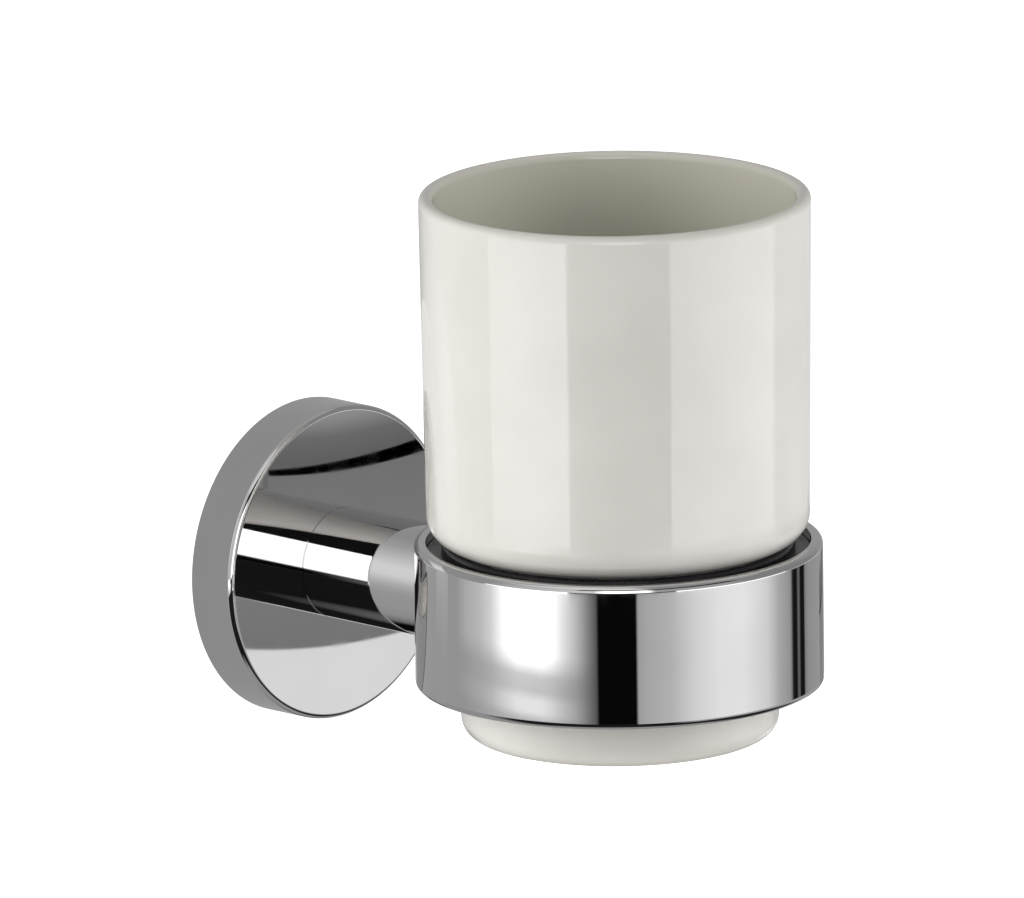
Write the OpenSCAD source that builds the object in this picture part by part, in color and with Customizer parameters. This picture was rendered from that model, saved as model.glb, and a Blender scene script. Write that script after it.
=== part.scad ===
// Wall-mounted bathroom tumbler holder with its ceramic tumbler.
// The origin is the centre of the rose on the wall face. The holder reaches
// out along -Y, and +Z is up. All sizes are in millimetres.

/* [Tumbler] */
// Outer diameter of the body just above the shoulder
cup_body_d = 66.6; // [62:0.2:75]
// How far the lip stands out past the body, on each side
lip_flare = 0.7; // [0:0.1:2]
// Height of the tumbler
cup_h = 96; // [80:0.5:120]
// Wall thickness of the body
cup_wall = 2.5; // [2:0.1:3.5]
// Outer radius of the shoulder that hangs on the holder
shoulder_r = 5; // [4:0.25:6]
// Height of the narrow foot under the shoulder
foot_h = 34.5; // [30:0.5:45]
// Width of the step from the body in to the foot, on each side
foot_step = 5.2; // [4.8:0.1:6.5]
// How much the foot narrows towards its base, on each side
foot_taper = 0.5; // [0:0.1:1.5]
// Wall thickness of the foot
foot_wall = 3; // [2.5:0.1:4]
// Radius of the foot's bottom corner
foot_corner_r = 3.5; // [2:0.25:5]
// Thickness of the tumbler's floor above its foot ring
cup_floor = 3; // [2.5:0.25:5]

/* [Ring band] */
// How much wider the band's bore is than the tumbler's body, on each side
band_clear = 0.1; // [0:0.05:0.4]
// Height of the ring band
band_h = 25.5; // [23:0.5:32]
// Wall thickness of the ring band
band_wall = 2.1; // [1.9:0.1:2.4]
// Radius of the band's outer edges
band_edge_r = 1.1; // [0.8:0.1:1.8]
// Height of the band's middle above the post's axis
band_lift = 1.9; // [0:0.1:2.5]
// Distance from the wall to the axis of the ring
reach = 76; // [70:1:110]

/* [Seat liner] */
// Thickness of the liner's skirt
liner_wall = 1.5; // [1.2:0.1:1.8]
// Radial width of the ridge that carries the tumbler
seat_w = 1.8; // [1.4:0.1:2.2]
// Number of ribs under the seat
rib_count = 12; // [6:1:18]

/* [Post] */
// Diameter of the post
post_d = 19.6; // [17:0.2:21]

/* [Wall rose] */
// Diameter of the wall rose
rose_d = 55.6; // [54:0.2:70]
// Depth of the rose from the wall to its face
rose_depth = 9.5; // [9:0.5:14]
// Thickness of the rose's face
rose_face = 2; // [1.5:0.1:2.4]
// Thickness of the rose's side wall
rose_wall = 1.6; // [1.2:0.1:2]
// Radius of the rose's front edge
rose_edge_r = 0.9; // [0.4:0.1:1.1]

/* [Wall bracket] */
// Distance from the bracket's rim to the inside of the rose
bracket_space = 5.7; // [5:0.1:8]
// Thickness of the bracket
bracket_t = 4.5; // [4:0.25:5]
// Depth of the undercut in the bracket's rim
rim_undercut = 1.6; // [1:0.1:2]
// Distance from the middle of each wall screw hole to the bracket's rim
hole_inset = 7; // [6:0.25:8]
// Diameter of the wall screw holes
hole_d = 4.6; // [4:0.1:5]

/* [Fasteners] */
// Thread diameter of the screw that joins the rose and the post
post_screw_d = 6; // [5:0.5:6]
// Thread diameter of the screw that joins the band and the post
band_screw_d = 5; // [4:0.5:6]
// Thread diameter of the grub screw under the rose
grub_d = 4; // [3:0.5:5]

/* [Clearances] */
// Gap around a screw in its hole
thread_gap = 0.1; // [0.05:0.05:0.2]
// Gap between curved faces that are fitted together
fit_gap = 0.12; // [0.08:0.02:0.2]
// Gap between the resting tumbler and the seat ridge
seat_gap = 0.2; // [0.15:0.05:0.3]
// Gap around the tumbler's foot inside the seat
foot_gap = 0.8; // [0.6:0.1:1.2]

/* [Hidden] */

chrome = [0.78, 0.79, 0.81];
steel = [0.62, 0.63, 0.65];
black = [0.08, 0.08, 0.09];
glaze = [0.93, 0.92, 0.88];

// One overrun serves every cut
over = 1;
round_fn = 128;
small_fn = 48;
arc_steps = 10;
// How far a part of a casting or a screw is sunk into the piece that carries it
rooting = 0.12;
// Corners across the hex sockets, for a size given across the flats
hex_round_share = 2 / sqrt(3);

// Heights in the row's frame: the post's axis is at zero
band_top = band_lift + band_h / 2;
band_bottom = band_lift - band_h / 2;
band_in_r = cup_body_d / 2 + band_clear;
band_r = band_in_r + band_wall;
edge_land = 0.2;
band_round_r = min(band_edge_r, band_wall - edge_land);

// Tumbler
lip_r = cup_wall / 2;
glaze_fillet_r = 2.5;
shoulder_low = band_top;
cup_base = shoulder_low - foot_h;
foot_top_r = cup_body_d / 2 - foot_step;
foot_base_r = foot_top_r - foot_taper;
shoulder_centre_r = cup_body_d / 2 - shoulder_r;
// The shoulder's arc starts level with the foot's wall, or flat beside it
shoulder_from = -acos(max(foot_top_r - shoulder_centre_r, 0) / shoulder_r);
shoulder_top_h = foot_h + shoulder_r;
foot_ring_w = 3.2;
foot_ring_h = 1.4;
foot_ring_in_r = foot_base_r - foot_corner_r - foot_ring_w;
inner_corner_r = 6;
inner_shoulder_r = shoulder_r - cup_wall;

// Seat liner
liner_out_r = band_in_r - fit_gap;
liner_in_r = liner_out_r - liner_wall;
ridge_in_r = foot_top_r + foot_gap;
ridge_r = seat_w / 2;
ridge_mid_r = ridge_in_r + ridge_r;
// The tumbler's shoulder has this height over the middle of the ridge
shoulder_rise = shoulder_r - sqrt(pow(shoulder_r, 2) - pow(ridge_mid_r - shoulder_centre_r, 2));
ridge_top = shoulder_low + shoulder_rise - seat_gap;
seat_t = 3.2;
seat_step = 1.9;
seat_low = ridge_top - seat_t;
rib_w = 1.2;
rib_h = 6;
lip_w = 1.6;
lip_t = 1.5;
liner_low = band_bottom + lip_t;
window_d = 11;

// Post and its joints
post_root = -rose_depth;
post_chamfer = 0.2;
saddle_gap = 0.15;
band_back = -reach + band_r;
band_back_in = -reach + band_in_r;

// Post screw, from behind the rose's face
washer_d = 12;
washer_t = 1.4;
washer_split = 1;
post_head_d = 10;
post_head_h = 3;
post_socket = 4;
post_socket_depth = 2;
post_screw_reach = 11;
post_bore_depth = 13;
rose_inside = -(rose_depth - rose_face);
rose_hole_gap = 0.2;

// Band screw, from inside the band
band_head_d = 9;
band_head_h = 1.9;
band_socket = 3;
band_socket_depth = 1.2;
band_screw_reach = 10;
band_bore_depth = 12;
spot_depth = 0.45;
spot_gap = 0.4;
spot_y = band_back_in + spot_depth;

// Wall bracket, hook and grub screw
bracket_rim_w = 1;
pocket_d = 14;
bracket_web = 1.4;
sink_d = 8.4;
sink_depth = 1.9;
rose_in_r = rose_d / 2 - rose_wall;
rose_round_r = min(rose_edge_r, rose_wall - edge_land);
bracket_r = rose_in_r - bracket_space;
hook_angle = 28;
hook_gap = 0.2;
hook_t = 2;
block_angle = 12;
block_w = 3.6;
grub_y_share = 0.68;
grub_y = -bracket_t * grub_y_share;
grub_tip_gap = 0.12;
grub_recess = 0.9;
grub_socket_share = 0.5;
grub_socket_depth = 2.4;
rim_slope = rim_undercut / (bracket_t - bracket_rim_w);
grub_tip_r = bracket_r - rim_undercut + rim_slope * abs(grub_y) + grub_tip_gap;
grub_out_r = rose_d / 2 - grub_recess;

// Points on an arc round [x, y], from one angle to another
function arc(x, y, r, from, to) =
    [for (i = [0 : arc_steps]) let (a = from + (to - from) * i / arc_steps)
        [x + r * cos(a), y + r * sin(a)]];

// A solid of revolution about a vertical line, from points of radius and height
module turned(points) {
    rotate_extrude($fn = round_fn) polygon(points);
}

// A solid of revolution about the post's axis: heights run along -Y from the wall
module turned_out(points) {
    rotate([90, 0, 0]) turned(points);
}

// A rod along -Y that starts at y
module rod(d, y, length, fn = small_fn) {
    translate([0, y, 0]) rotate([90, 0, 0]) cylinder(d = d, h = length, $fn = fn);
}

// A hex key's socket along -Y that starts at y
module hex_socket(across, y, depth) {
    rod(across * hex_round_share, y, depth, 6);
}

// A wedge that keeps the part of a ring within an angle of +Z
module wedge(angle, r, depth) {
    rotate([90, 0, 0]) linear_extrude(depth + over)
        polygon([[0, 0], [-r * tan(angle), r], [r * tan(angle), r]]);
}

// Disc that is screwed to the wall. Its rim is undercut, for the hook and the grub screw,
// and a pocket in its front clears the head of the post screw.
module wall_bracket() {
    color(steel) difference() {
        turned_out([[0, 0], [bracket_r - rim_undercut, 0], [bracket_r, bracket_t - bracket_rim_w],
                    [bracket_r, bracket_t], [pocket_d / 2, bracket_t], [pocket_d / 2, bracket_web],
                    [0, bracket_web]]);
        for (side = [-1, 1]) translate([side * (bracket_r - hole_inset), 0, 0]) {
            rod(hole_d, over, bracket_t + 2 * over);
            translate([0, -bracket_t + sink_depth, 0]) rotate([90, 0, 0])
                cylinder(d1 = hole_d, d2 = sink_d, h = sink_depth, $fn = small_fn);
        }
    }
}

// Chrome cover over the bracket, with a hook at the top and a block for the grub screw
module wall_rose() {
    out = rose_d / 2;
    hole = (post_screw_d + 2 * rose_hole_gap) / 2;
    hook_in = bracket_r - rim_undercut + hook_gap;
    color(chrome) difference() {
        union() {
            turned_out(concat(
                [[rose_in_r, 0], [out, 0]],
                arc(out - rose_round_r, rose_depth - rose_round_r, rose_round_r, 0, 90),
                [[hole, rose_depth], [hole, -rose_inside], [rose_in_r, -rose_inside]]));
            intersection() {
                turned_out([[hook_in, 0], [rose_in_r + rooting, 0], [rose_in_r + rooting, hook_t],
                            [hook_in + rim_slope * hook_t, hook_t]]);
                wedge(hook_angle, out, hook_t);
            }
            intersection() {
                turned_out([[rose_in_r - block_w, 0], [rose_in_r + rooting, 0],
                            [rose_in_r + rooting, rooting - rose_inside],
                            [rose_in_r - block_w, rooting - rose_inside]]);
                mirror([0, 0, 1]) wedge(block_angle, out, rose_depth);
            }
        }
        translate([0, grub_y, -out - over])
            cylinder(d = grub_d + 2 * thread_gap, h = out, $fn = small_fn);
    }
}

// Grub screw with a cone point and a hex socket, from under the rose
module grub_screw() {
    color(steel) translate([0, grub_y, -grub_out_r]) difference() {
        union() {
            cylinder(d = grub_d, h = grub_out_r - grub_tip_r - grub_d / 2, $fn = small_fn);
            translate([0, 0, grub_out_r - grub_tip_r - grub_d / 2])
                cylinder(d1 = grub_d, d2 = 0, h = grub_d / 2, $fn = small_fn);
        }
        translate([0, 0, -over])
            cylinder(d = grub_d * grub_socket_share * hex_round_share,
                     h = grub_socket_depth + over, $fn = 6);
    }
}

// Screw through the rose's face into the root of the post
module post_screw() {
    seat = rose_inside + washer_t;
    color(steel) difference() {
        union() {
            rod(post_head_d, seat + post_head_h, post_head_h);
            rod(post_screw_d, seat + rooting, rooting + rose_face + washer_t + post_screw_reach);
        }
        hex_socket(post_socket, seat + post_head_h + over, post_socket_depth + over);
    }
}

// Split spring washer under the head of the post screw
module lock_washer() {
    color(steel) difference() {
        rod(washer_d, rose_inside + washer_t, washer_t);
        rod(post_screw_d + 2 * rose_hole_gap, rose_inside + washer_t + over, washer_t + 2 * over);
        translate([-washer_split / 2, rose_inside - over, 0])
            cube([washer_split, washer_t + 2 * over, washer_d]);
    }
}

// Solid post. Its far end is a saddle that fits the outside of the band.
module post() {
    r = post_d / 2;
    color(chrome) difference() {
        turned_out([[0, -post_root], [r - post_chamfer, -post_root], [r, -post_root + post_chamfer],
                    [r, reach - band_r + r], [0, reach - band_r + r]]);
        translate([0, -reach, -r - over])
            cylinder(r = band_r + saddle_gap, h = 2 * (r + over), $fn = round_fn);
        rod(post_screw_d + 2 * thread_gap, post_root + over, post_bore_depth + over);
        rod(band_screw_d + 2 * thread_gap, band_back + band_bore_depth, band_bore_depth + over);
    }
}

// Chrome band with rounded edges, and a lip at the bottom that carries the liner
module ring_band() {
    color(chrome) difference() {
        translate([0, -reach, 0]) turned(concat(
            [[band_in_r - lip_w, band_bottom]],
            arc(band_r - band_round_r, band_bottom + band_round_r, band_round_r, -90, 0),
            arc(band_r - band_round_r, band_top - band_round_r, band_round_r, 0, 90),
            [[band_in_r, band_top], [band_in_r, band_bottom + lip_t],
             [band_in_r - lip_w, band_bottom + lip_t]]));
        rod(band_screw_d + 2 * rose_hole_gap, band_back + over, band_wall + 2 * over);
        rod(band_head_d + 2 * spot_gap, spot_y, band_head_d);
    }
}

// Low-head screw from inside the band into the end of the post
module band_screw() {
    color(steel) difference() {
        union() {
            rod(band_head_d, spot_y, band_head_h);
            rod(band_screw_d, band_back + band_screw_reach,
                band_screw_reach + band_wall - spot_depth + rooting);
        }
        hex_socket(band_socket, spot_y - band_head_h + band_socket_depth, band_socket_depth + over);
    }
}

// Moulded liner: a skirt, a ridge that the tumbler's shoulder rests on, and ribs under it
module seat_liner() {
    seat_top = ridge_top - seat_step;
    color(black) difference() {
        union() {
            translate([0, -reach, 0]) turned(concat(
                [[liner_in_r, liner_low], [liner_out_r, liner_low], [liner_out_r, seat_top],
                 [ridge_in_r + seat_w, seat_top]],
                arc(ridge_mid_r, ridge_top - ridge_r, ridge_r, 0, 180),
                [[ridge_in_r, seat_low], [liner_in_r, seat_low]]));
            for (i = [0 : rib_count - 1])
                translate([0, -reach, 0]) rotate([0, 0, (i + 0.5) * 360 / rib_count])
                    translate([0, -rib_w / 2, 0]) rotate([90, 0, 0]) mirror([0, 0, 1])
                        linear_extrude(rib_w) polygon([
                            [liner_in_r + liner_wall / 2, seat_low - rib_h], [liner_in_r, seat_low - rib_h],
                            [ridge_mid_r, seat_low], [ridge_mid_r, seat_low + seat_t / 4],
                            [liner_in_r + liner_wall / 2, seat_low + seat_t / 4]]);
        }
        rod(window_d, band_back_in + over, band_head_d);
    }
}

// Glazed tumbler: rounded lip, nearly straight body, round shoulder and a narrower foot
module tumbler() {
    in_foot = foot_top_r - foot_wall;
    in_base = foot_base_r - foot_wall;
    floor_h = foot_ring_h + cup_floor;
    color(glaze) translate([0, -reach, cup_base]) turned(concat(
        [[0, foot_ring_h], [foot_ring_in_r - foot_ring_h, foot_ring_h], [foot_ring_in_r, 0]],
        arc(foot_base_r - foot_corner_r, foot_corner_r, foot_corner_r, -90, 0),
        [[foot_top_r, foot_h]],
        arc(shoulder_centre_r, shoulder_top_h, shoulder_r, shoulder_from, 0),
        arc(cup_body_d / 2 + lip_flare - lip_r, cup_h - lip_r, lip_r, 0, 180),
        arc(shoulder_centre_r, shoulder_top_h, inner_shoulder_r, 0, -90),
        arc(in_foot + glaze_fillet_r, foot_h + cup_wall - glaze_fillet_r, glaze_fillet_r, 90, 180),
        arc(in_base - inner_corner_r, floor_h + inner_corner_r, inner_corner_r, 0, -90),
        [[0, floor_h]]));
}

wall_bracket();
wall_rose();
grub_screw();
post_screw();
lock_washer();
post();
ring_band();
band_screw();
seat_liner();
tumbler();
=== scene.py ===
"""Dresses the bathroom tumbler and its wall holder, and sets them in a plain white studio."""

import logging
import math
from dataclasses import dataclass
from enum import Enum
from typing import Any, Callable, Dict, List, Sequence, Tuple, Union

import bpy
from mathutils import Matrix, Vector


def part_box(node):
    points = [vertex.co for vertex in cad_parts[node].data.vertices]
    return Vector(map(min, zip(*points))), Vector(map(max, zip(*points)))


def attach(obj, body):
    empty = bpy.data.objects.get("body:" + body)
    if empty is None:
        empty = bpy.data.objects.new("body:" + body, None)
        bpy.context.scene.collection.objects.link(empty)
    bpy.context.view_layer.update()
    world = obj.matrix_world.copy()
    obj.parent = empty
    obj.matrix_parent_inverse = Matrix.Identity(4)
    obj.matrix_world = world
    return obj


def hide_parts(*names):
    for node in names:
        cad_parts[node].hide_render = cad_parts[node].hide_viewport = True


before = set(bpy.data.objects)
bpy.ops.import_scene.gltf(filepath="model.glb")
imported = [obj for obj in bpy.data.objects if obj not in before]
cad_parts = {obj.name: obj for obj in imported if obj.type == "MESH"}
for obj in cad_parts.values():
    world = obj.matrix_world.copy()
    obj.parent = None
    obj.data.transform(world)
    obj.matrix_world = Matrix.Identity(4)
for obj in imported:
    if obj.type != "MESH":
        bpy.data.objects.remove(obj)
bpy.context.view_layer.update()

log = logging.getLogger("tumbler_scene")

Colour = Tuple[float, float, float, float]
Point = Tuple[float, float]
Inputs = Union[Dict[Any, Any], Sequence[Any]]

MM = 0.001
# Sizes in millimetres that several classes share
REACH = 76.0
BAND_R = 35.5
BODY_R = 33.3
ROSE_DEPTH = 9.5
# The ring's axis meets the frame's level plane here
RING_AXIS = (0, -REACH * MM, 0)

# Most of a noise lies between these values
SPREAD = (0.3, 0.7)
# Numbers of a Mix node's sockets when it mixes colours
FACTOR, FIRST, SECOND, MIXED = 0, 6, 7, 2


class Slot(Enum):
    """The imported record's material slots of the pieces that are rebuilt here."""

    CHROME = "chrome"
    GLAZED_CERAMIC = "glazed_ceramic"


class Body(Enum):
    """Bodies that the pieces ride on."""

    HOLDER = "holder"
    TUMBLER = "tumbler"


class Turning(Enum):
    """The axis that a profile is turned about: the ring's or the post's."""

    UP = (0, 0, 1)
    OUT = (0, 1, 0)


class Bore(Enum):
    """Which way a hole runs, as the turn of its cutter."""

    UPRIGHT = (0, 0, 0)
    ALONG_POST = (math.pi / 2, 0, 0)


class Joining(Enum):
    """What a second shape does to a piece."""

    ADD = "UNION"
    CUT = "DIFFERENCE"


def linear(hex_colour: str) -> Colour:
    """Turns an sRGB hex colour to the linear colour that a shader takes.

    Args:
        hex_colour: Six hex digits after a hash sign.

    Returns:
        Red, green, blue and alpha.
    """
    parts = [int(hex_colour[i:i + 2], 16) / 255 for i in (1, 3, 5)]
    # The curve of the sRGB standard
    r, g, b = [c / 12.92 if c <= 0.04045 else ((c + 0.055) / 1.055) ** 2.4 for c in parts]
    return r, g, b, 1.0


def add_node(tree: Any, kind: str, inputs: Inputs = (), **settings: Any) -> Any:
    """Adds a shader node with its settings, values and links.

    Args:
        tree: The node tree.
        kind: The node's type name, without its common start.
        inputs: What its sockets take, in order or by name or number: values, hex colours,
            outputs, or nodes for their first output.
        **settings: Properties of the node.

    Returns:
        The new node.
    """
    node = tree.nodes.new("ShaderNode" + kind)
    for name, value in settings.items():
        setattr(node, name, value)
    by_name = inputs if isinstance(inputs, dict) else dict(enumerate(inputs))
    for name, value in by_name.items():
        if isinstance(value, bpy.types.Node):
            value = value.outputs[0]
        if isinstance(value, bpy.types.NodeSocket):
            tree.links.new(value, node.inputs[name])
        else:
            node.inputs[name].default_value = linear(value) if isinstance(value, str) else value
    return node


def add_primitive(operator: Callable[..., Any], **sizes: Any) -> Any:
    """Adds a primitive with nothing else selected.

    Args:
        operator: The operator that adds it.
        **sizes: The operator's settings.

    Returns:
        The new object.
    """
    bpy.ops.object.select_all(action="DESELECT")
    operator(**sizes)
    return bpy.context.object


def bow(centre: Point, radius: float, start: float, end: float, count: int = 14) -> List[Point]:
    """Places points on an arc of a profile.

    Args:
        centre: Radius and height of the arc's centre.
        radius: The arc's radius.
        start: First angle in degrees.
        end: Last angle in degrees.
        count: Number of steps.

    Returns:
        The points, both ends among them.
    """
    angles = [math.radians(start + (end - start) * i / count) for i in range(count + 1)]
    return [(centre[0] + radius * math.cos(a), centre[1] + radius * math.sin(a)) for a in angles]


@dataclass
class Workpiece:
    """One mesh that is shaped step by step in edit mode. Its sizes are in millimetres."""

    name: str
    turning: Turning = Turning.UP
    thing: Any = None
    # Points that lie closer than this are merged
    weld: float = 0.0005
    # How far rests lie from a side's ends, and how long a side must be to get them
    rest: float = 0.1
    long_side: float = 0.8
    # Faces that meet at less than this angle are shaded as one, and large faces lead
    smooth_below: float = 28.0
    large_face_lead: int = 100

    def place(self, radius: float, height: float) -> Vector:
        """Gives the place of a profile point in metres, in the row's frame."""
        upright = self.turning is Turning.UP
        return Vector((radius, -REACH, height) if upright else (radius, -height, 0)) * MM

    def turn(
        self, points: Sequence[Point], steps: int, start: float = 0.0, sweep: float = 360.0
    ) -> None:
        """Draws a closed profile point by point and spins it, as on a lathe.

        Args:
            points: Radius and height of each corner, in order.
            steps: Number of steps of the spin.
            start: Angle that the profile is turned to first, in degrees.
            sweep: Angle of the spin, in degrees.
        """
        self.thing = add_primitive(bpy.ops.mesh.primitive_plane_add, size=MM)
        self.thing.name = self.thing.data.name = self.name
        lathe = {
            "axis": self.turning.value,
            "center": RING_AXIS if self.turning is Turning.UP else (0, 0, 0)}
        bpy.ops.object.mode_set(mode="EDIT")
        bpy.ops.mesh.select_all(action="SELECT")
        bpy.ops.mesh.merge(type="CENTER")
        spots = [self.place(*point) for point in self.with_rests(points)]
        bpy.ops.transform.translate(value=spots[0])
        for before, after in zip(spots, spots[1:] + spots[:1]):
            bpy.ops.mesh.extrude_vertices_move(TRANSFORM_OT_translate={"value": after - before})
        bpy.ops.mesh.select_all(action="SELECT")
        bpy.ops.mesh.remove_doubles(threshold=self.weld * MM)
        if start:
            bpy.ops.mesh.select_all(action="SELECT")
            bpy.ops.mesh.spin(steps=1, angle=math.radians(start), **lathe)
            bpy.ops.mesh.select_all(action="INVERT")
            bpy.ops.mesh.delete(type="VERT")
        bpy.ops.mesh.select_all(action="SELECT")
        bpy.ops.mesh.spin(steps=steps, angle=math.radians(sweep), **lathe)
        if sweep < 360.0:
            self.close_ends()
        bpy.ops.mesh.select_all(action="SELECT")
        bpy.ops.mesh.remove_doubles(threshold=self.weld * MM)
        bpy.ops.mesh.select_all(action="SELECT")
        bpy.ops.mesh.normals_make_consistent(inside=False)
        bpy.ops.object.mode_set(mode="OBJECT")

    def with_rests(self, points: Sequence[Point]) -> List[Point]:
        """Adds a point near both ends of each long side, which keeps its gloss true to the edges.

        Args:
            points: The corners of a profile, in order.

        Returns:
            The corners with the rests between them.
        """
        full: List[Point] = []
        for here, there in zip(points, list(points[1:]) + [points[0]]):
            full.append(here)
            across, up = there[0] - here[0], there[1] - here[1]
            length = math.hypot(across, up)
            if length > self.long_side:
                for share in (self.rest / length, 1 - self.rest / length):
                    full.append((here[0] + across * share, here[1] + up * share))
        return full

    @staticmethod
    def close_ends() -> None:
        """Fills both ends of a part turn."""
        bpy.ops.mesh.select_all(action="DESELECT")
        bpy.ops.mesh.select_mode(type="EDGE")
        bpy.ops.mesh.select_non_manifold()
        bpy.ops.mesh.edge_face_add()
        bpy.ops.mesh.select_mode(type="VERT")

    def combine(self, other: Any, joining: Joining) -> None:
        """Adds another object's shape or cuts it out, and deletes that object.

        Args:
            other: The object to add or cut with.
            joining: Which of the two it is.
        """
        self.pick()
        step = self.thing.modifiers.new("combine", "BOOLEAN")
        step.operation, step.object, step.solver = joining.value, other, "EXACT"
        bpy.ops.object.modifier_apply(modifier=step.name)
        bpy.data.objects.remove(other)

    def drill(
        self, diameter: float, centre: Sequence[float], depth: float, bore: Bore, corners: int = 64
    ) -> None:
        """Cuts a round hole.

        Args:
            diameter: The hole's diameter.
            centre: The middle of the hole's length.
            depth: The hole's length.
            bore: Which way it runs.
            corners: Number of sides of the cutter.
        """
        cutter = add_primitive(
            bpy.ops.mesh.primitive_cylinder_add, vertices=corners, radius=diameter / 2 * MM,
            depth=depth * MM, location=Vector(centre) * MM, rotation=bore.value)
        self.combine(cutter, Joining.CUT)

    def pick(self) -> None:
        """Makes this piece the only selected one."""
        bpy.ops.object.select_all(action="DESELECT")
        self.thing.select_set(True)
        bpy.context.view_layer.objects.active = self.thing

    def finish(self, material: Any, body: Body, stands_for: Sequence[str]) -> None:
        """Args:
            material: Its material.
            body: The body that it rides on.
            stands_for: The CAD nodes that it replaces.
        """
        self.pick()
        bpy.ops.object.shade_smooth_by_angle(angle=math.radians(self.smooth_below))
        even = self.thing.modifiers.new("even_gloss", "WEIGHTED_NORMAL")
        even.keep_sharp = True
        even.weight = self.large_face_lead
        bpy.ops.object.modifier_apply(modifier=even.name)
        self.thing.data.materials.clear()
        self.thing.data.materials.append(material)
        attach(self.thing, body.value)
        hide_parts(*stands_for)
        log.info("%s: %d faces in %s", self.name, len(self.thing.data.polygons), material.name)


@dataclass(frozen=True)
class Look:
    """What one finish adds to the steps that all finishes share."""

    # Amounts from 0 to 1, each with the tone that it lays over those before it
    layers: Sequence[Tuple[Any, str]]
    # What the roughness follows
    patches: Any
    # Heights from 0 to 1, each with its real height in millimetres
    relief: Sequence[Tuple[Any, float]]
    # Sockets of the shader that are the same all over
    even: Dict[str, float]


@dataclass(frozen=True)
class Finish:
    """What every finish of the object shares."""

    name: str
    tone: str = "#ffffff"
    roughness: Point = (0.4, 0.5)
    # Values of the patches between which the roughness turns
    patch_span: Point = SPREAD
    # Size in millimetres and octaves of each noise that the finish is drawn with
    noises: Tuple[Point, ...] = ()

    def look(self, tree: Any, place: Any, noises: Sequence[Any]) -> Look:
        """Gives the finish's own layers, patches and relief.

        Args:
            tree: The node tree.
            place: The coordinates.
            noises: Its noises.

        Returns:
            The look.
        """
        raise NotImplementedError

    def material(self) -> Any:
        """Builds the material.

        Returns:
            The material.
        """
        material = bpy.data.materials.new(self.name)
        material.use_nodes = True
        tree = material.node_tree
        tree.nodes.clear()
        place = add_node(tree, "TexCoord").outputs["Object"]
        look = self.look(tree, place, [
            add_node(tree, "TexNoise", {
                "Vector": place, "Scale": 1 / (size * MM), "Detail": octaves})
            for size, octaves in self.noises])
        colour: Any = self.tone
        for amount, tone in look.layers:
            colour = add_node(
                tree, "Mix", {FACTOR: amount, FIRST: colour, SECOND: tone},
                data_type="RGBA").outputs[MIXED]
        rough = add_node(tree, "MapRange", (look.patches, *self.patch_span, *self.roughness))
        sockets = {**look.even, "Base Color": colour, "Roughness": rough}
        normal: Dict[str, Any] = {}
        for height, real_height in look.relief:
            bump = add_node(tree, "Bump", {
                "Strength": 1.0, "Distance": real_height * MM, "Height": height, **normal})
            normal = {"Normal": bump}
        shader = add_node(tree, "BsdfPrincipled", {**sockets, **normal})
        add_node(tree, "OutputMaterial", {"Surface": shader})
        return material


@dataclass(frozen=True)
class ChromePlate(Finish):
    """Chrome plated on polished brass. Buffing leaves long soft waves, so reflections waver."""

    tone: str = "#d7d6d6"
    dull: str = "#d1d0d1"
    roughness: Point = (0.012, 0.04)
    # Clouds, haze, and the waves and ripples of the buffing
    noises: Tuple[Point, ...] = ((20.0, 2.0), (4.0, 4.0), (9.0, 1.0), (1.6, 1.0))
    wave_height: float = 0.0012
    ripple_height: float = 0.00006

    def look(self, tree: Any, place: Any, noises: Sequence[Any]) -> Look:
        """Gives the chrome's look.

        Args:
            tree: The node tree.
            place: The coordinates.
            noises: Its noises.

        Returns:
            The look.
        """
        clouds, haze, wave, ripple = noises
        # Plating is a shade duller in faint clouds, where the polish has dried on
        cloud = add_node(tree, "MapRange", (clouds, *SPREAD, 0.0, 1.0))
        return Look(
            [(cloud, self.dull)], haze,
            [(wave, self.wave_height), (ripple, self.ripple_height)], {"Metallic": 1.0})


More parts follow.
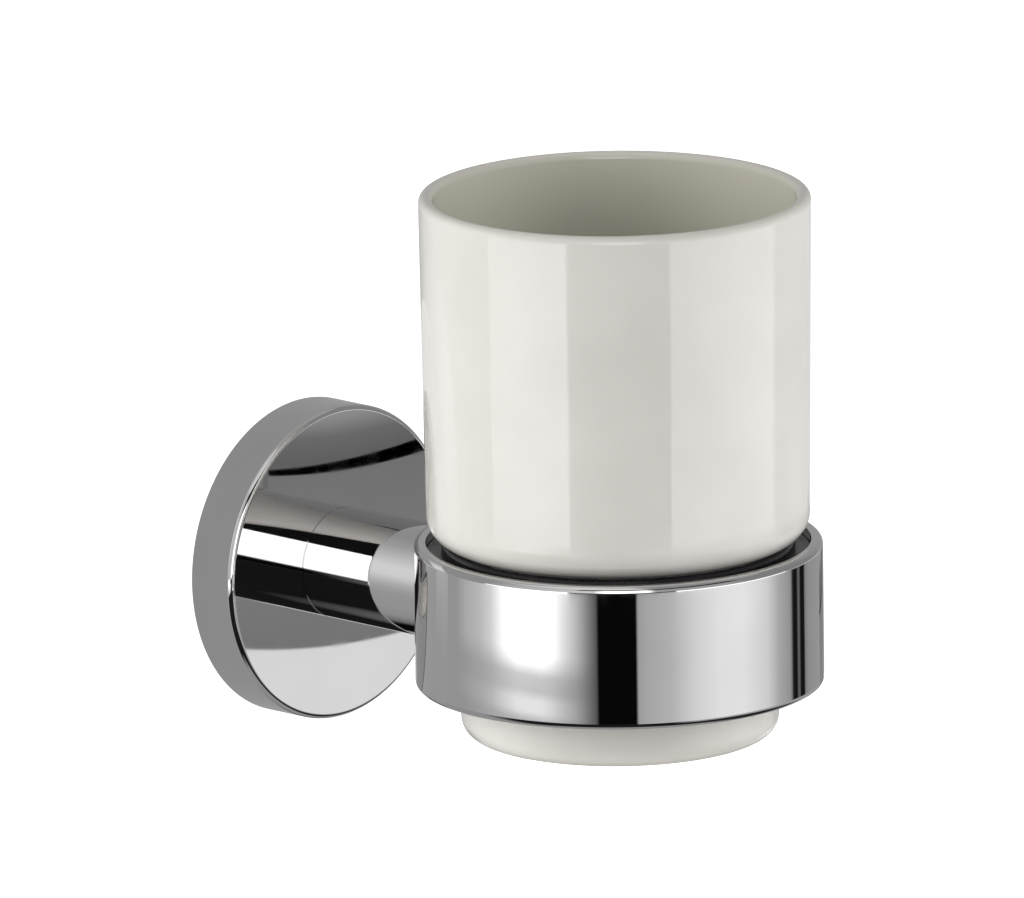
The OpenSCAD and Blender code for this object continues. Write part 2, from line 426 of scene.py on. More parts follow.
@dataclass(frozen=True)
class GlazedChina(Finish):
    """Slip-cast vitreous china under a clear glossy glaze. Its foot ring is wiped bare."""

    tone: str = "#e8e5df"
    deep_glaze: str = "#e2dfd9"
    # Painted shade inside the cup: a darker tone with a green-grey cast
    inside: str = "#dad8ca"
    # Painted shade over the lip's top: a darker, warmer tone
    lip: str = "#dedad0"
    bare: str = "#cdbfa8"
    speck: str = "#77736a"
    roughness: Point = (0.32, 0.45)
    # Clouds of deep glaze, patches of roughness, slow waves of the casting and orange peel
    noises: Tuple[Point, ...] = ((16.0, 2.0), (2.0, 2.0), (13.0, 1.0), (1.4, 2.0))
    wave_height: float = 0.022
    peel_height: float = 0.0012
    base: float = -19.85
    shoulder: Point = (14.65, 19.65)
    top: float = 76.15
    # Radius of the wall's middle in the foot and in the body
    wall_middle: Point = (26.5, 32.2)
    # Where the inside's painted shade begins and is full, inwards from the wall's middle
    inside_shade_depth: Point = (-0.6, 0.8)
    # How far down the lip's painted shade reaches, and how much it darkens and warms the glaze
    lip_shade_depth: float = 1.0
    lip_shade_share: float = 0.7
    # One pinhole in each patch of this size, with its core and rim as shares of the patch
    pinhole_patch: float = 25.0
    pinhole: Point = (0.006, 0.012)
    # Heights above the base between which the bare ring ends
    bare_height: Point = (0.25, 0.45)

    def look(self, tree: Any, place: Any, noises: Sequence[Any]) -> Look:
        """Gives the china's look.

        Args:
            tree: The node tree.
            place: The coordinates.
            noises: Its noises.

        Returns:
            The look.
        """
        clouds, patches, wave, peel = noises
        metres = add_node(
            tree, "VectorMath", (place, (1, 1, 0), (0, REACH * MM, 0)), operation="MULTIPLY_ADD")
        metres = add_node(tree, "VectorMath", (metres,), operation="LENGTH")
        radius = add_node(tree, "Math", (metres.outputs["Value"], MM), operation="DIVIDE")
        metres = add_node(tree, "SeparateXYZ", (place,))
        height = add_node(tree, "Math", (metres.outputs["Z"], MM), operation="DIVIDE")
        wall = add_node(tree, "MapRange", (height, *self.shoulder, *self.wall_middle))
        depth = add_node(tree, "Math", (wall, radius), operation="SUBTRACT")
        cells = add_node(tree, "TexVoronoi", {
            "Vector": place, "Scale": 1 / (self.pinhole_patch * MM), "Randomness": 1.0},
            feature="F1")
        low, high = [self.base + above for above in self.bare_height]
        layers = [
            (add_node(tree, "MapRange", span, interpolation_type=step), tone)
            for span, step, tone in (
                # Glaze lies thicker in soft clouds, and the inside gets painted shade: a darker
                # tone with a green-grey cast
                ((clouds, *SPREAD, 0.0, 1.0), "LINEAR", self.deep_glaze),
                ((depth, *self.inside_shade_depth, 0.0, 1.0), "SMOOTHSTEP", self.inside),
                # The lip's top gets painted shade, a darker and warmer tone, where little light
                # falls from above
                ((height, self.top - self.lip_shade_depth, self.top, 0.0, self.lip_shade_share),
                 "SMOOTHSTEP", self.lip),
                # A few pinholes are as wide as 0.3 mm
                ((cells.outputs["Distance"], *self.pinhole, 1.0, 0.0), "LINEAR", self.speck),
                # The kiln's foot ring is bare biscuit, matt and a little darker
                ((height, low, high, 1.0, 0.0), "LINEAR", self.bare))]
        return Look(
            layers, patches, [(wave, self.wave_height), (peel, self.peel_height)],
            {"IOR": 1.5, "Specular IOR Level": 0.25,
             "Coat Weight": 1.0, "Coat Roughness": 0.02, "Coat IOR": 1.52})


@dataclass(frozen=True)
class MouldedPolypropylene(Finish):
    """Injection-moulded black polypropylene with the fine spark-eroded grain of its mould."""

    tone: str = "#1b191b"
    worn: str = "#2c292c"
    most_worn: float = 0.6
    roughness: Point = (0.24, 0.38)
    # Wear, and the grain, which is really 0.1 mm and is drawn coarser so that it shows
    noises: Tuple[Point, ...] = ((6.0, 2.0), (0.35, 2.0))
    grain_height: float = 0.01

    def look(self, tree: Any, place: Any, noises: Sequence[Any]) -> Look:
        """Gives the plastic's look.

        Args:
            tree: The node tree.
            place: The coordinates.
            noises: Its noises.

        Returns:
            The look.
        """
        wear, grain = noises
        amount = add_node(tree, "MapRange", (wear, *SPREAD, 0.0, self.most_worn))
        return Look([(amount, self.worn)], grain, [(grain, self.grain_height)], {"IOR": 1.49})


@dataclass(frozen=True)
class ZincPlatedSteel(Finish):
    """Pressed steel under dull zinc plate. The plate's crystals give it a faint patchy sheen."""

    tone: str = "#a3a6aa"
    patch: str = "#8d9095"
    crystal: float = 1.8
    roughness: Point = (0.32, 0.48)
    patch_span: Point = (0.0, 1.0)
    noises: Tuple[Point, ...] = ((0.6, 3.0),)
    grain_height: float = 0.01

    def look(self, tree: Any, place: Any, noises: Sequence[Any]) -> Look:
        """Gives the zinc plate's look.

        Args:
            tree: The node tree.
            place: The coordinates.
            noises: Its noises.

        Returns:
            The look.
        """
        cells = add_node(
            tree, "TexVoronoi", {"Vector": place, "Scale": 1 / (self.crystal * MM)}, feature="F1")
        amount = add_node(tree, "SeparateColor", (cells.outputs["Color"],))
        return Look(
            [(amount, self.patch)], amount, [(noises[0], self.grain_height)], {"Metallic": 1.0})


@dataclass(frozen=True)
class TurnedStainless(Finish):
    """Stainless steel screws, turned, so fine rings run round their heads."""

    tone: str = "#b4b2af"
    groove: str = "#9d9b99"
    # Real tool marks are 0.05 mm wide, and are drawn at 0.3 mm so that they show
    mark: float = 0.3
    # A wave texture goes from light to dark in this length over its scale
    half_wave: float = 0.157
    waver: float = 0.4
    mark_height: float = 0.004
    roughness: Point = (0.18, 0.32)
    noises: Tuple[Point, ...] = ((0.8, 3.0),)

    def look(self, tree: Any, place: Any, noises: Sequence[Any]) -> Look:
        """Gives the turned steel's look.

        Args:
            tree: The node tree.
            place: The coordinates.
            noises: Its noises.

        Returns:
            The look.
        """
        rings = add_node(tree, "TexWave", {
            "Vector": place, "Scale": self.half_wave / (self.mark * MM),
            "Distortion": self.waver, "Detail": 1.0},
            wave_type="RINGS", rings_direction="Y").outputs["Fac"]
        return Look(
            [(rings, self.groove)], noises[0], [(rings, self.mark_height)], {"Metallic": 1.0})


@dataclass
class ChinaTumbler:
    """The glazed tumbler: rounded lip, nearly straight body, round shoulder and narrower foot."""

    lip_flare: float = 0.7
    height: float = 96.0
    wall: float = 2.5
    shoulder_r: float = 5.0
    foot_h: float = 34.5
    foot_step: float = 5.2
    foot_taper: float = 0.5
    foot_wall: float = 3.0
    foot_corner_r: float = 3.5
    floor: float = 3.0
    ring_w: float = 3.2
    ring_h: float = 1.4
    ring_edge_r: float = 0.35
    inner_corner_r: float = 6.0
    fillet_r: float = 2.5

    def profile(self) -> List[Point]:
        """Draws half of the tumbler's section from the middle of its underside.

        Returns:
            Its points, outside first and then inside.
        """
        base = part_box("tumbler")[0].z / MM
        foot_top = BODY_R - self.foot_step
        foot_low = foot_top - self.foot_taper
        corner = foot_low - self.foot_corner_r
        ring_in = corner - self.ring_w
        arc = (BODY_R - self.shoulder_r, self.foot_h + self.shoulder_r)
        lip_r = self.wall / 2
        floor_h = self.ring_h + self.floor
        in_top, in_low = foot_top - self.foot_wall, foot_low - self.foot_wall
        fillet = (in_top + self.fillet_r, self.foot_h + self.wall - self.fillet_r)
        hollow = (in_low - self.inner_corner_r, floor_h + self.inner_corner_r)
        begin = -math.degrees(math.acos(max(foot_top - arc[0], 0) / self.shoulder_r))
        points = [(0.0, self.ring_h), (ring_in - self.ring_h, self.ring_h)]
        points += bow((ring_in, self.ring_edge_r), self.ring_edge_r, 180, 270, count=3)
        points += bow((corner, self.foot_corner_r), self.foot_corner_r, -90, 0)
        points += [(foot_top, self.foot_h)]
        points += bow(arc, self.shoulder_r, begin, 0, count=20)
        points += bow(
            (BODY_R + self.lip_flare - lip_r, self.height - lip_r), lip_r, 0, 180, count=20)
        points += bow(arc, self.shoulder_r - self.wall, 0, -90)
        points += bow(fillet, self.fillet_r, 90, 180)
        points += bow(hollow, self.inner_corner_r, 0, -90)
        points += [(0.0, floor_h)]
        return [(r, h + base) for r, h in points]

    def build(self, glaze: Any) -> None:
        """Turns the tumbler and glazes it.

        Args:
            glaze: Its finish.
        """
        piece = Workpiece("glazed_tumbler")
        piece.turn(self.profile(), steps=288)
        piece.finish(glaze, Body.TUMBLER, ["tumbler"])


@dataclass
class RingBand:
    """The chrome band with its inner lip, its screw hole and the spot face for the screw's head."""

    wall: float = 2.1
    edge_r: float = 1.1
    inner_edge_r: float = 0.25
    lip_w: float = 1.6
    lip_t: float = 1.5
    hole_d: float = 5.4
    spot_d: float = 9.8
    spot_depth: float = 0.45

    def build(self, chrome: Any) -> None:
        """Turns the band, drills it and plates it.

        Args:
            chrome: Its finish.
        """
        bottom, top = [corner.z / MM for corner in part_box("ring_band")]
        bore = BAND_R - self.wall
        points = [(bore - self.lip_w, bottom)]
        points += bow((BAND_R - self.edge_r, bottom + self.edge_r), self.edge_r, -90, 0)
        points += bow((BAND_R - self.edge_r, top - self.edge_r), self.edge_r, 0, 90)
        rim = (bore + self.inner_edge_r, top - self.inner_edge_r)
        points += bow(rim, self.inner_edge_r, 90, 180, count=4)
        points += [(bore, bottom + self.lip_t), (bore - self.lip_w, bottom + self.lip_t)]
        piece = Workpiece("chrome_band")
        piece.turn(points, steps=320)
        inside = -REACH + bore
        piece.drill(self.hole_d, (0, inside, 0), 4 * self.wall, Bore.ALONG_POST)
        spot = (0, inside + self.spot_depth - self.wall, 0)
        piece.drill(self.spot_d, spot, 2 * self.wall, Bore.ALONG_POST)
        piece.finish(chrome, Body.HOLDER, ["ring_band"])


@dataclass
class HolderPost:
    """The solid post, whose far end is a saddle that fits the outside of the band."""

    radius: float = 9.8
    chamfer: float = 0.2
    saddle_gap: float = 0.15
    root_bore: float = 6.2
    root_depth: float = 13.0
    end_bore: float = 5.2
    end_depth: float = 12.0

    def build(self, chrome: Any) -> None:
        """Turns the post, cuts its saddle and its two bores, and plates it.

        Args:
            chrome: Its finish.
        """
        end = REACH - BAND_R + self.radius
        piece = Workpiece("chrome_post", Turning.OUT)
        piece.turn([
            (0.0, ROSE_DEPTH), (self.radius - self.chamfer, ROSE_DEPTH),
            (self.radius, ROSE_DEPTH + self.chamfer), (self.radius, end), (0.0, end)], steps=192)
        band = 2 * (BAND_R + self.saddle_gap)
        piece.drill(band, (0, -REACH, 0), 3 * self.radius, Bore.UPRIGHT, corners=512)
        for bore, depth, mouth in (
                (self.root_bore, self.root_depth, -ROSE_DEPTH),
                (self.end_bore, self.end_depth, -REACH + BAND_R)):
            piece.drill(bore, (0, mouth, 0), 2 * depth, Bore.ALONG_POST)
        piece.finish(chrome, Body.HOLDER, ["post"])


@dataclass
class WallRose:
    """The chrome cover, with the hook and the block for the grub screw inside its side wall."""

    radius: float = 27.8
    face: float = 2.0
    wall: float = 1.6
    edge_r: float = 0.9
    hole_r: float = 3.2
    hook_in: float = 19.1
    hook_t: float = 2.0
    hook_slope: float = 0.457
    # Half of the angle that each takes up
    hook_angle: float = 28.0
    block_angle: float = 12.0
    block_w: float = 3.6
    grub_d: float = 4.2
    grub_y: float = -3.06
    grub_clear: float = 1.0
    # How deep both are rooted in the wall, and how wide the line between them and the rim is
    rooting: float = 0.12
    groove: float = 0.05

    def build(self, chrome: Any) -> None:
        """Turns the cover, roots the hook and the block in it, drills the grub hole and plates it.

        Args:
            chrome: Its finish.
        """
        inner = self.radius - self.wall
        inside = ROSE_DEPTH - self.face
        points = [(inner, 0.0), (self.radius, 0.0)]
        points += bow((self.radius - self.edge_r, ROSE_DEPTH - self.edge_r), self.edge_r, 0, 90)
        points += [(self.hole_r, ROSE_DEPTH), (self.hole_r, inside), (inner, inside)]
        piece = Workpiece("chrome_rose", Turning.OUT)
        piece.turn(points, steps=320)
        hook_foot = self.hook_in + self.hook_slope * self.hook_t
        block_in, block_top = inner - self.block_w, inside + self.rooting
        # The hook stands above the post's axis and the block below it
        for name, first, last, height, middle, half, steps in (
                ("rose_hook", self.hook_in, hook_foot, self.hook_t, 90, self.hook_angle, 28),
                ("rose_block", block_in, block_in, block_top, -90, self.block_angle, 12)):
            rooted = Workpiece(name, Turning.OUT)
            rooted.turn([
                (first, 0.0), (inner - self.groove, 0.0), (inner + self.rooting, self.rooting),
                (inner + self.rooting, height), (last, height)],
                steps, start=middle + half, sweep=-2 * half)
            piece.combine(rooted.thing, Joining.ADD)
        piece.drill(
            self.grub_d, (0, self.grub_y, -self.radius),
            2 * (self.wall + self.block_w + self.grub_clear), Bore.UPRIGHT, corners=48)
        piece.finish(chrome, Body.HOLDER, ["wall_rose"])


@dataclass
class ConcealedParts:
    """The solids that keep their CAD shape: bracket, screws, washer and liner."""

    zinc: Any
    stainless: Any
    plastic: Any

    def dress(self) -> None:
        """Gives each of them its finish."""
        for material, names in (
                (self.zinc, ["wall_bracket"]),
                (self.stainless, ["grub_screw", "post_screw", "lock_washer", "band_screw"]),
                (self.plastic, ["seat_liner"])):
            for name in names:
                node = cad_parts[name]
                node.data.materials.clear()
                node.data.materials.append(material)
                log.info("%s: CAD solid in %s", name, material.name)


@dataclass(frozen=True)
class Tone:
    """How bright a card is at one place on it: an angle in degrees or a height in millimetres."""

    place: float
    light: float


Tones = Tuple[Tone, ...]


def tones(*pairs: float) -> Tones:
    """Makes tones from places and lights in turn."""
    return tuple(Tone(place, light) for place, light in zip(pairs[::2], pairs[1::2]))


@dataclass(frozen=True)
class View:
    """Where the photograph was taken from, and how long its lens was."""

    azimuth: float = -46.57
    elevation: float = 13.5
    roll: float = -0.69
    distance: float = 6.0
    aim_right: float = 0.018597
    aim_up: float = -0.029835
    pixels_per_mm: float = 5.767
    image_width: float = 1024.0
    sensor: float = 36.0
    clip: Point = (0.05, 80.0)

    def toward(self, angle: float, rise: float) -> Vector:
        """Gives the direction at an angle to the picture's right of the camera, and at a rise."""
        a, e = math.radians(self.azimuth + angle), math.radians(rise)
        return Vector((math.sin(a) * math.cos(e), -math.cos(a) * math.cos(e), math.sin(e)))

    def camera(self) -> None:
        """Sets the camera."""
        roll = math.radians(self.roll)
        back = self.toward(0, self.elevation)
        level = self.toward(90, 0)
        over = back.cross(level)
        right = level * math.cos(roll) + over * math.sin(roll)
        up = over * math.cos(roll) - level * math.sin(roll)
        data = bpy.data.cameras.new("studio_camera")
        data.sensor_width = self.sensor
        data.lens = self.pixels_per_mm / MM * self.distance / self.image_width * self.sensor
        data.clip_start, data.clip_end = self.clip
        camera = bpy.data.objects.new("studio_camera", data)
        bpy.context.scene.collection.objects.link(camera)
        place = Vector(RING_AXIS) + back * self.distance
        place -= right * self.aim_right + up * self.aim_up
        rows = zip(right, up, back, place)
        camera.matrix_world = Matrix([*rows, (0, 0, 0, 1)])
        bpy.context.scene.camera = camera


def stage_material(thing: Any, name: str) -> Any:
    """Gives a studio object an empty material and marks it as stage.

    Args:
        thing: The object.
        name: The material's name.

    Returns:
        The material's node tree.
    """
    material = bpy.data.materials.new(name)
    material.use_nodes = True
    material.node_tree.nodes.clear()
    thing.data.materials.append(material)
    return material.node_tree


@dataclass
class Card:
    """What every paper card shares: only reflections see it. Its lengths are in metres.

    Angles of tones are round the ring's axis, to the picture's right of the camera's side.
    """

    view: View
    brightest: float = 4.0
    # The material's node tree and its output of places in metres, once the card stands
    tree: Any = None
    place: Any = None

    def stand(
        self, name: str, operator: Callable[..., Any], stretch: Sequence[float] = (1, 1, 1),
        **sizes: Any
    ) -> None:
        """Adds the card's shape, hides it from all but reflections and starts its material.

        Args:
            name: Its name.
            operator: The operator that adds its shape.
            stretch: Factors along the shape's own axes.
            **sizes: The operator's settings.
        """
        thing = add_primitive(operator, **sizes)
        thing.scale = stretch
        bpy.ops.object.transform_apply(location=True, rotation=True, scale=True)
        thing.name = name
        for rays in ("camera", "diffuse", "shadow", "transmission"):
            setattr(thing, "visible_" + rays, False)
        self.tree = stage_material(thing, name + "_paper")
        self.place = add_node(self.tree, "TexCoord").outputs["Object"]

    def stand_round(self, name: str, radius: float, low: float, high: float) -> None:
        """Stands a round paper wall.

        Args:
            name: Its name.
            radius: Its radius round the ring's axis.
            low: Height of its lower edge.
            high: Height of its upper edge.
        """
        self.stand(
            name, bpy.ops.mesh.primitive_cylinder_add, vertices=240, radius=radius,
            depth=high - low, end_fill_type="NOTHING", location=(*RING_AXIS[:2], (high + low) / 2))

    def light(self, colour: Any) -> None:
        """Makes the card shine with a colour that is a share of the brightest tone."""
        glow = add_node(self.tree, "Emission", {"Color": colour, "Strength": self.brightest})
        add_node(self.tree, "OutputMaterial", {"Surface": glow})

    def plain(self, light: float) -> Colour:
        """Gives a plain tone as a share of the brightest."""
        share = light / self.brightest
        return share, share, share, 1.0

    def shade(self, value: Any, steps: Sequence[Tone]) -> Any:
        """Turns a value to a tone.

        Args:
            value: The value's output, in the unit of the tones.
            steps: The tones, in order.

        Returns:
            The tone's output, as a share of the brightest.
        """
        start, end = steps[0].place, steps[-1].place
        along = add_node(self.tree, "MapRange", (value, start, end, 0.0, 1.0))
        ramp = add_node(self.tree, "ValToRGB", (along,))
        stops = ramp.color_ramp.elements
        stops.remove(stops[-1])
        for number, tone in enumerate(steps):
            place = (tone.place - start) / (end - start)
            stop = stops.new(place) if number else stops[0]
            stop.position = place
            stop.color = self.plain(tone.light)
        return ramp.outputs["Color"]

    @staticmethod
    def landing(steps: Sequence[Tone], start: float, end: float) -> Tones:
        """Moves tones from the directions of rays to the angles where they land.

        Args:
            steps: Tones at the directions that an upright round surface reflects.
            start: That surface's radius.
            end: The paper wall's radius.

        Returns:
            The tones at their angles round the axis.
        """
        moved = []
        for tone in steps:
            half = math.sin(math.radians(tone.place / 2))
            shift = math.degrees(math.asin(half * start / end)) if abs(tone.place) < 180 else 0.0
            moved.append(Tone(tone.place - shift, tone.light))
        return tuple(moved)

    def height(self) -> Any:
        """Adds the height in millimetres, and returns it."""
        metres = add_node(self.tree, "SeparateXYZ", (self.place,)).outputs["Z"]
        return add_node(self.tree, "Math", (metres, MM), operation="DIVIDE")

    def turn(self, place: Any) -> Any:
        """Adds the angle in degrees of a place about its Z axis, and returns it."""
        turn = add_node(self.tree, "TexGradient", (place,), gradient_type="RADIAL").outputs["Fac"]
        return add_node(self.tree, "MapRange", (turn, 0, 1, -180, 180))

    def angle(self) -> Any:
        """Adds the angle in degrees round the ring's axis.

        Returns:
            The angle, which is 0 on the camera's side.
        """
        back = self.view.toward(0, 0)
        turned = add_node(self.tree, "Mapping", {
            "Vector": self.place, "Location": RING_AXIS,
            "Rotation": (0, 0, math.atan2(back.y, back.x))}, vector_type="TEXTURE")
        return self.turn(turned)

    def blend(self, value: Any, span: Point, first: Any, second: Any, step: str = "LINEAR") -> Any:
        """Turns one tone to another.

        Args:
            value: The output that decides.
            span: Its values where the first tone ends and where the second is full.
            first: The first tone, plain or an output.
            second: The second tone, plain or an output.
            step: How the value is interpolated.

        Returns:
            The tone's output.
        """
        amount = add_node(self.tree, "MapRange", (value, *span, 0.0, 1.0), interpolation_type=step)
        return add_node(
            self.tree, "Mix", {FACTOR: amount, FIRST: first, SECOND: second},
            data_type="RGBA").outputs[MIXED]


@dataclass
class Tent(Card):
    """The round tent: its wall, which the tumbler and the post reflect, its roof and its apron."""

    radius: float = 1.0
    low: float = -0.262
    high: float = 1.1
    # Heights in millimetres where the tumbler's tones pass into the post's, and the post's end
    tumbler_top: Point = (-150, -100)
    post_top: Point = (620, 630)
    # Distances from the axis where a sheet's middle ends and where its rim begins
    middle: Point = (0.12, 0.18)
    rim: Point = (0.45, 0.50)
    roof_middle: float = 0.5
    apron_middle: float = 0.38
    tumbler_tones: Tones = tones(
        -180, 0.72, -135, 0.68, -108, 0.45, -98, 0.38, -84, 0.38, -80.5, 0.45, -80, 1.5,
        -60, 2.2, -29, 3.2, -28.5, 0.06, 31.5, 0.06, 32.2, 2.1, 60, 2.0, 108, 1.5,
        108.7, 0.4, 130, 0.6, 180, 0.72)
    post_tones: Tones = tones(
        -180, 0.38, -80, 0.38, -60, 0.60, -27, 0.80, -14, 0.90, -7, 2.6, 14, 2.6, 20, 0.45,
        60, 0.50, 78, 0.30, 130, 0.30, 150, 0.38, 180, 0.38)
    high_tones: Tones = tones(
        -180, 0.38, -80, 0.38, -60, 0.60, -27, 0.60, -25, 0.01, 76, 0.01, 79, 0.28,
        130, 0.30, 150, 0.38, 180, 0.38)
    roof_tones: Tones = tones(
        -180, 0.45, -110, 0.45, -60, 0.9, 15, 0.9, 30, 0.35, 90, 0.35, 110, 0.45, 180, 0.45)
    apron_tones: Tones = tones(
        -180, 0.38, -85, 0.38, -65, 0.015, 120, 0.015, 150, 0.38, 180, 0.38)
    apron_rim: Tones = tones(
        -180, 0.38, -85, 0.38, -65, 0.015, 30, 0.015, 45, 0.48, 115, 0.48, 180, 0.38)

    def wall(self) -> None:
        """Stands the wall, with its tones for the tumbler, for the post and above both."""
        self.stand_round("tent_wall", self.radius, self.low, self.high)
        angle, height = self.angle(), self.height()
        colour = self.shade(angle, self.landing(self.tumbler_tones, BODY_R * MM, self.radius))
        for span, steps in ((self.tumbler_top, self.post_tones), (self.post_top, self.high_tones)):
            colour = self.blend(height, span, colour, self.shade(angle, steps), "SMOOTHSTEP")
        self.light(colour)

    def sheet(
        self, name: str, height: float, steps: Sequence[Tone], rim: Sequence[Tone], middle: float
    ) -> None:
        """Spreads a level sheet across the tent.

        Args:
            name: Its name.
            height: Its height.
            steps: Its tones from angle to angle.
            rim: Its tones in the rim.
            middle: Its one tone in the middle.
        """
        centre = (*RING_AXIS[:2], height)
        self.stand(
            name, bpy.ops.mesh.primitive_circle_add, vertices=240, radius=self.radius,
            fill_type="NGON", location=centre)
        angle = self.angle()
        far = add_node(
            self.tree, "VectorMath", (self.place, centre), operation="DISTANCE").outputs["Value"]
        colour = self.blend(far, self.middle, self.plain(middle), self.shade(angle, steps))
        self.light(self.blend(far, self.rim, colour, self.shade(angle, rim)))

    def build(self) -> None:
        """Sets up the tent."""
        self.wall()
        self.sheet("tent_roof", self.high, self.roof_tones, self.roof_tones, self.roof_middle)
        self.sheet("tent_apron", self.low, self.apron_tones, self.apron_rim, self.apron_middle)


@dataclass
class BandWall(Card):
    """A low paper wall close to the object, at the heights that only the band reflects."""

    radius: float = 0.30
    low: float = -0.0818
    high: float = -0.0512
    # The rose's side stands nearer to this wall than the band does, and sees plain grey paper
    rose_reach: Point = (0.251, 0.257)
    rose_tone: float = 0.38
    # How bright the softbox's blob is at its core
    blob_light: float = 1.6
    band_tones: Tones = tones(
        -180, 0.43, -98, 0.43, -86, 0.50, -78, 0.55, -60, 0.60, -39, 0.55, -32, 0.50,
        -25, 0.42, -18, 0.25, -13, 0.12, -12.6, 0.003, 9.6, 0.003, 10, 0.50, 15, 0.57,
        29, 0.67, 43, 0.95, 58, 1.14, 74, 1.16, 92, 0.92, 102, 0.57, 113, 0.42,
        115.2, 0.10, 115.5, 0.01, 120.6, 0.01, 120.9, 0.16, 123.1, 0.16, 123.4, 0.01,
        129, 0.01, 129.4, 0.27, 134, 0.38, 180, 0.43)
    blob_sides: Tones = tones(
        -180, 0.0, -105, 0.0, -97, 0.10, -86.5, 0.13, -77.6, 0.25, -69, 0.65, -60, 1.0,
        -45, 1.0, -39, 0.75, -32, 0.40, -25, 0.20, -18, 0.05, -13, 0.0, 180, 0.0)
    # Heights from the blob's lower edge up
    blob_heights: Tones = tones(
        -80, 0.0, -79, 0.0, -76.3, 0.05, -74.5, 0.38, -72.4, 0.38, -70.6, 0.16, -67.8, 0.2,
        -65.9, 0.6, -63.5, 1.0, -50, 1.0)

    def build(self) -> None:
        """Stands the wall, with grey and black strips and the softbox's blob."""
        self.stand_round("band_wall", self.radius, self.low, self.high)
        angle = self.angle()
        strips, sides = [
            self.shade(angle, self.landing(steps, BAND_R * MM, self.radius))
            for steps in (self.band_tones, self.blob_sides)]
        rise = self.shade(self.height(), self.blob_heights)
        # Both are shares of the brightest tone, so their product is scaled back by it
        blob = add_node(self.tree, "VectorMath", (sides, rise), operation="MULTIPLY")
        blob = add_node(
            self.tree, "VectorMath", {0: blob, "Scale": self.blob_light * self.brightest},
            operation="SCALE")
        both = add_node(self.tree, "VectorMath", (strips, blob), operation="ADD")
        ray = add_node(self.tree, "LightPath").outputs["Ray Length"]
        self.light(self.blend(ray, self.rose_reach, self.plain(self.rose_tone), both))


@dataclass
class PostRing(Card):
    """A paper ring round the rose, just behind the wall's plane, which only the post reflects."""

    outer: float = 0.062
    inner: float = 0.0430
    thickness: float = 0.0005
    behind: float = 0.005
    # Angles round the post's axis, from the picture's right over the top
    ring_tones: Tones = tones(
        -180, 0.62, -170, 0.50, -160, 0.44, -133, 0.42, -115, 0.38, -100, 0.20, -92, 0.003,
        -70, 0.003, -62, 0.38, 88, 0.38, 110, 0.48, 130, 0.68, 150, 0.92, 165, 0.90,
        175, 0.72, 180, 0.62)

    def build(self) -> None:
        """Sets up the ring."""
        self.stand(
            "post_ring", bpy.ops.mesh.primitive_cone_add, vertices=96, radius1=self.outer,
            radius2=self.inner, depth=self.thickness, end_fill_type="NOTHING",
            location=(0, self.behind, 0), rotation=(math.pi / 2, 0, 0))
        place = add_node(self.tree, "SeparateXYZ", (self.place,)).outputs
        level = add_node(self.tree, "CombineXYZ", (place["X"], place["Z"]))
        self.light(self.shade(self.turn(level), self.ring_tones))


@dataclass
class FaceCard(Card):
    """The card that the rose's flat face reflects, with its curved edges."""

    distance: float = 0.100
    size: Point = (0.040, 0.064)
    # How many degrees steeper than the camera's line it lies
    dip: float = 0.3
    # Its edges rise to the right by the slope, and bend upwards by so much in each millimetre
    slope: float = 0.15
    bend: float = 0.006
    # The black strip between two edges, which spread by so much in each millimetre
    black_low: Point = (16.9, 17.1)
    black_high: Point = (18.75, 18.95)
    black_spread: float = 0.055
    face_tones: Tones = tones(
        -60, 1.01, -15, 1.01, -14.7, 0.26, 0, 0.29, 17, 0.25, 19, 0.17, 23.5, 0.21,
        27, 0.38, 60, 0.40)

    def build(self) -> None:
        """Stands the card where the camera's line goes after the rose's face."""
        centre = self.view.toward(-2 * self.view.azimuth, 0) * self.distance
        centre.y -= ROSE_DEPTH * MM
        centre.z = -math.tan(math.radians(self.view.elevation + self.dip)) * self.distance
        turn = -math.radians(self.view.azimuth)
        self.stand(
            "face_card", bpy.ops.mesh.primitive_plane_add, (*self.size, 1), size=1,
            location=centre, rotation=(math.pi / 2, 0, turn))
        turned = add_node(self.tree, "Mapping", {
            "Vector": self.place, "Location": centre, "Rotation": (0, 0, turn),
            "Scale": (MM, MM, MM)}, vector_type="TEXTURE")
        spot = add_node(self.tree, "SeparateXYZ", (turned,)).outputs
        # An edge is level where its height, less its rise to the right, is constant
        rise = add_node(
            self.tree, "Math", (spot["X"], self.bend, self.slope), operation="MULTIPLY_ADD")
        rise = add_node(self.tree, "Math", (rise, spot["X"]), operation="MULTIPLY")
        height = add_node(self.tree, "Math", (spot["Z"], rise), operation="SUBTRACT")
        wider = add_node(
            self.tree, "Math", (spot["X"], -self.black_spread, height), operation="MULTIPLY_ADD")
        paper = self.shade(height, self.face_tones)
        black = self.blend(height, self.black_low, paper, self.plain(0.0))
        self.light(self.blend(wider, self.black_high, black, paper))


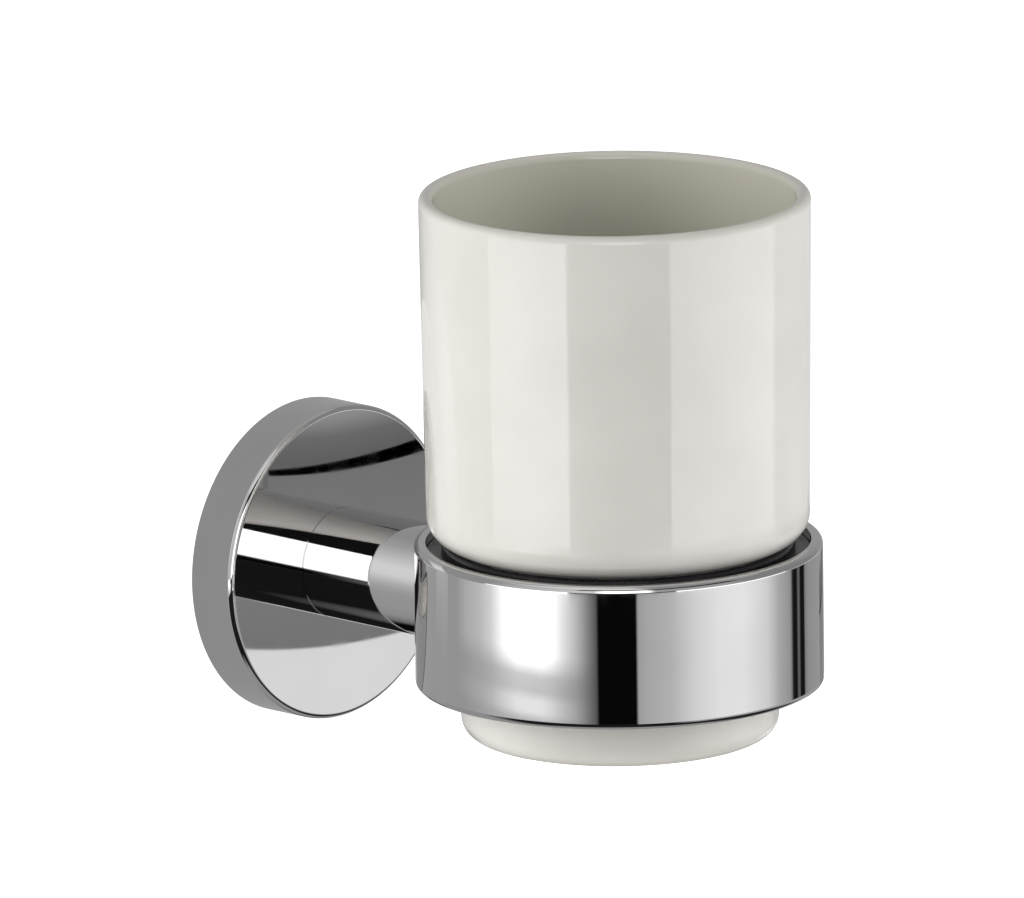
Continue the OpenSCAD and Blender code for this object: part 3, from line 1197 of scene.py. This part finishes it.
@dataclass
class Studio:
    """The lamps, the white surroundings and the pale floor."""

    view: View
    ambient: float = 0.345
    # Each lamp's angle from the camera's side, its rise and its watts
    key: Tuple[float, float, float] = (-70, 10, 9.1)
    fill: Tuple[float, float, float] = (75, 10, 7.4)
    lamp_size: float = 0.9
    lamp_reach: float = 1.1
    lamp_aim: float = 0.02
    floor_height: float = -0.42
    floor_size: float = 60.0
    floor_tone: str = "#f4f4f2"
    # How much the floor is lifted towards white near the object, and where it is white
    floor_lift: float = 0.35
    floor_fade: Point = (0.3, 1.1)

    def lamp(self, name: str, angle: float, rise: float, power: float) -> None:
        """Hangs one soft lamp that points at the tumbler.

        Args:
            name: Its name.
            angle: Angle from the camera's side, in degrees.
            rise: Angle above the horizon, in degrees.
            power: Its power in watts.
        """
        data = bpy.data.lights.new(name, "AREA")
        data.size, data.energy = self.lamp_size, power
        lamp = bpy.data.objects.new(name, data)
        bpy.context.scene.collection.objects.link(lamp)
        away = self.view.toward(angle, rise)
        lamp.location = Vector((*RING_AXIS[:2], self.lamp_aim)) + away * self.lamp_reach
        lamp.rotation_euler = (-away).to_track_quat("-Z", "Y").to_euler()
        lamp.visible_glossy = lamp.visible_camera = False

    @staticmethod
    def seen_directly(tree: Any) -> Any:
        """Tells the rays that show the background from those that only light it.

        Args:
            tree: The node tree.

        Returns:
            A value that is 1 for the camera, gloss and glass.
        """
        path = add_node(tree, "LightPath").outputs
        seen = path["Is Camera Ray"]
        for other in ("Is Glossy Ray", "Is Transmission Ray"):
            seen = add_node(tree, "Math", (seen, path[other]), operation="MAXIMUM")
        return seen

    def world(self) -> None:
        """Makes the world white to the camera and in reflections, and plain in its light."""
        world = bpy.data.worlds.new("white_studio")
        bpy.context.scene.world = world
        world.use_nodes = True
        tree = world.node_tree
        tree.nodes.clear()
        strength = add_node(tree, "MapRange", (self.seen_directly(tree), 0, 1, self.ambient, 1))
        light = add_node(tree, "Background", ("#ffffff", strength))
        add_node(tree, "OutputWorld", {"Surface": light})

    def floor(self) -> None:
        """Lays the pale floor, which keeps the object's shadow and is clear from below."""
        floor = add_primitive(
            bpy.ops.mesh.primitive_plane_add, size=self.floor_size,
            location=(0, 0, self.floor_height))
        floor.name = "studio_floor"
        tree = stage_material(floor, "pale_studio_floor")
        place = add_node(tree, "TexCoord").outputs["Object"]
        far = add_node(tree, "VectorMath", (place,), operation="LENGTH").outputs["Value"]
        lift = add_node(
            tree, "MapRange", (far, *self.floor_fade, self.floor_lift, 1.0),
            interpolation_type="SMOOTHSTEP")
        lift = add_node(tree, "Math", (lift, self.seen_directly(tree)), operation="MULTIPLY")
        matt = add_node(tree, "BsdfDiffuse", (self.floor_tone,))
        glow = add_node(tree, "Emission", ("#ffffff", lift))
        both = add_node(tree, "AddShader", (matt, glow))
        below = add_node(tree, "NewGeometry").outputs["Backfacing"]
        clear = add_node(tree, "BsdfTransparent")
        mix = add_node(tree, "MixShader", (below, both, clear))
        add_node(tree, "OutputMaterial", {"Surface": mix})

    def build(self) -> None:
        """Sets up the whole studio."""
        self.view.camera()
        self.world()
        self.floor()
        self.lamp("key_softbox", *self.key)
        self.lamp("fill_softbox", *self.fill)
        for card in (Tent, BandWall, PostRing, FaceCard):
            card(self.view).build()
        bpy.context.scene.view_settings.view_transform = "Standard"


def main() -> None:
    """Builds the classes in order and reports each piece."""
    logging.basicConfig(level=logging.INFO, format="%(name)s: %(message)s")
    chrome = ChromePlate("chrome_plate_on_brass").material()
    glaze = GlazedChina("glazed_vitreous_china").material()
    plastic = MouldedPolypropylene("moulded_polypropylene").material()
    zinc = ZincPlatedSteel("zinc_plated_steel").material()
    stainless = TurnedStainless("turned_stainless_steel").material()
    WallRose().build(chrome)
    HolderPost().build(chrome)
    RingBand().build(chrome)
    ChinaTumbler().build(glaze)
    ConcealedParts(zinc, stainless, plastic).dress()
    Studio(View()).build()


if __name__ == "__main__":
    main()
